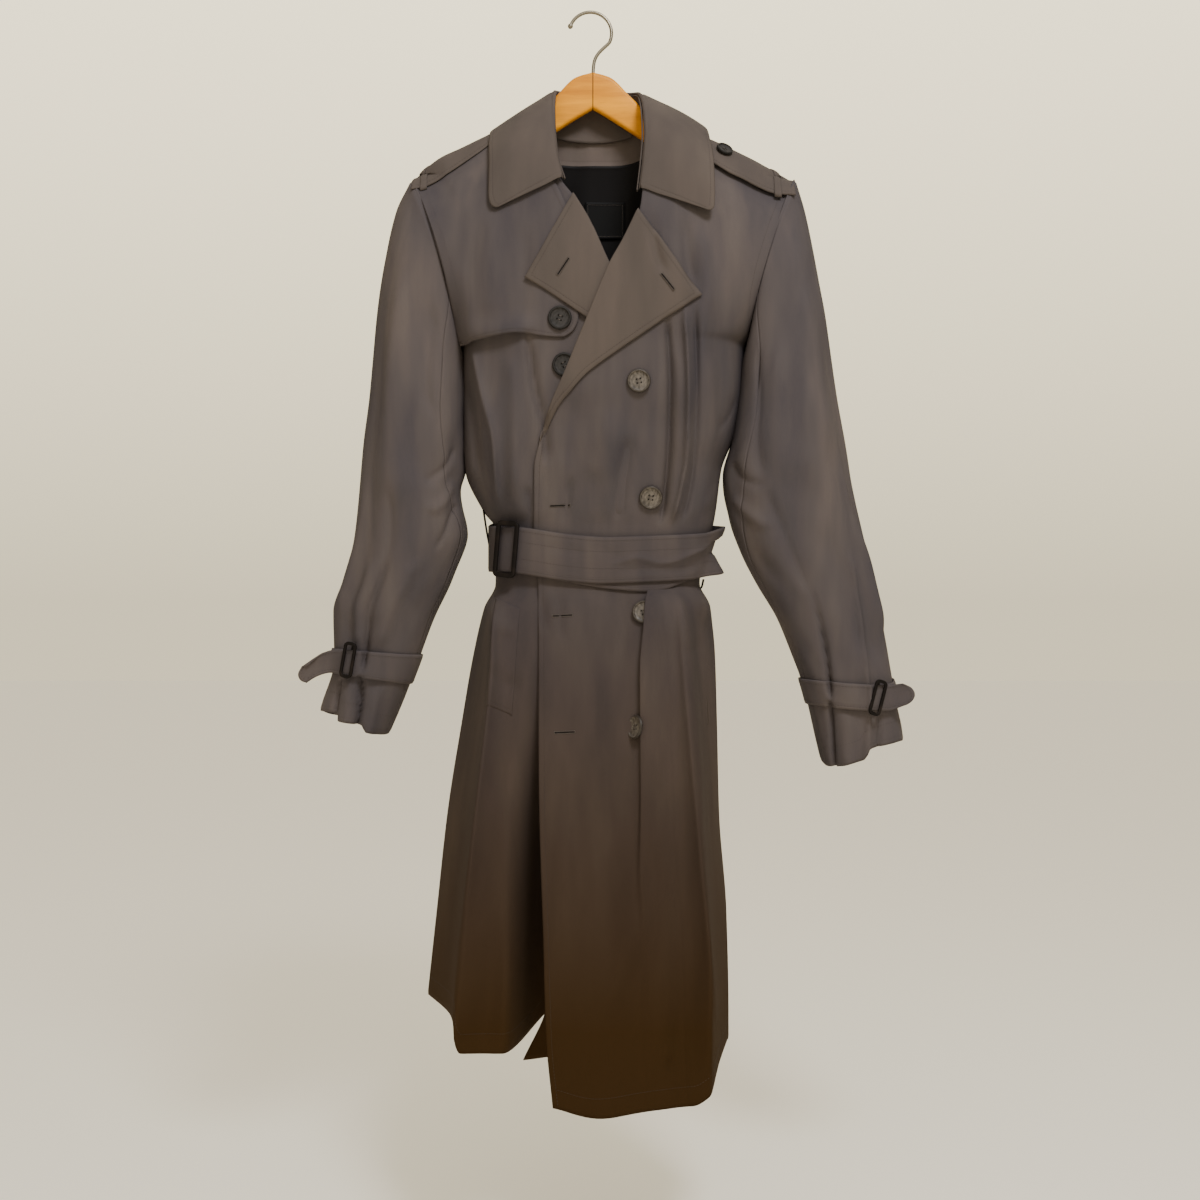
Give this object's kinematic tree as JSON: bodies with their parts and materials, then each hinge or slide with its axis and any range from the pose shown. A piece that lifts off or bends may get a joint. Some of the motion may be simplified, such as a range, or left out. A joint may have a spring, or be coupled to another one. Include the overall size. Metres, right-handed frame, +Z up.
{
  "type": "trench coat on a coat hanger",
  "caption": "Double-breasted belted trench coat hanging open at the neck on a wooden hanger with a wire hook.",
  "frame": {"origin": "underside of the top of the hook's arch, where a rail or nail carries the hanger", "axes": "+Z up, -Y the coat's front, +X the wearer's left"},
  "size_m": [0.7089, 0.2153, 1.2532],
  "materials": {
    "front_right": "matt, fine cotton twill",
    "front_left": "matt, fine cotton twill",
    "back_right": "matt, fine cotton twill",
    "back_left": "matt, fine cotton twill",
    "lapel_right": "matt, fine cotton twill",
    "lapel_left": "matt, fine cotton twill",
    "collar_fall": "matt, fine cotton twill",
    "collar_stand": "matt, fine cotton twill",
    "storm_flap": "matt, fine cotton twill",
    "top_sleeve_right": "matt, fine cotton twill",
    "top_sleeve_left": "matt, fine cotton twill",
    "under_sleeve_right": "matt, fine cotton twill",
    "under_sleeve_left": "matt, fine cotton twill",
    "epaulette_right": "matt, fine cotton twill",
    "epaulette_left": "matt, fine cotton twill",
    "epaulette_keeper_right": "matt, fine cotton twill",
    "epaulette_keeper_left": "matt, fine cotton twill",
    "pocket_welt_right": "matt, fine cotton twill",
    "pocket_welt_left": "matt, fine cotton twill",
    "cuff_strap_right": "matt, fine cotton twill",
    "cuff_strap_left": "matt, fine cotton twill",
    "belt": "matt, fine cotton twill",
    "belt_tail": "matt, fine cotton twill",
    "back_neck_facing": "matt, fine cotton twill",
    "lining": "soft satin",
    "label": "matt",
    "front_button_1": "polished horn look",
    "front_button_2": "polished horn look",
    "front_button_3": "polished horn look",
    "front_button_4": "polished horn look",
    "under_button": "polished horn look",
    "storm_flap_button": "polished horn look",
    "epaulette_button_left": "polished horn look",
    "belt_buckle": "dark leather over a stiff core",
    "cuff_buckle_right": "dark leather over a stiff core",
    "cuff_buckle_left": "dark leather over a stiff core",
    "hanger_wood": "clear varnish",
    "hanger_hook": "satin"
  },
  "bodies": {
    "root": {"front_right": "front_right", "front_left": "front_left", "back_right": "back_right", "back_left": "back_left", "lapel_right": "lapel_right", "lapel_left": "lapel_left", "collar_fall": "collar_fall", "collar_stand": "collar_stand", "storm_flap": "storm_flap", "top_sleeve_right": "top_sleeve_right", "top_sleeve_left": "top_sleeve_left", "under_sleeve_right": "under_sleeve_right", "under_sleeve_left": "under_sleeve_left", "epaulette_right": "epaulette_right", "epaulette_left": "epaulette_left", "epaulette_keeper_right": "epaulette_keeper_right", "epaulette_keeper_left": "epaulette_keeper_left", "pocket_welt_right": "pocket_welt_right", "pocket_welt_left": "pocket_welt_left", "cuff_strap_right": "cuff_strap_right", "cuff_strap_left": "cuff_strap_left", "belt": "belt", "belt_tail": "belt_tail", "back_neck_facing": "back_neck_facing", "lining": "lining", "label": "label", "front_button_1": "front_button_1", "front_button_2": "front_button_2", "front_button_3": "front_button_3", "front_button_4": "front_button_4", "under_button": "under_button", "storm_flap_button": "storm_flap_button", "epaulette_button_left": "epaulette_button_left", "belt_buckle": "belt_buckle", "cuff_buckle_right": "cuff_buckle_right", "cuff_buckle_left": "cuff_buckle_left", "hanger_wood": "hanger_wood", "hanger_hook": "hanger_hook"}
  },
  "joints": []
}
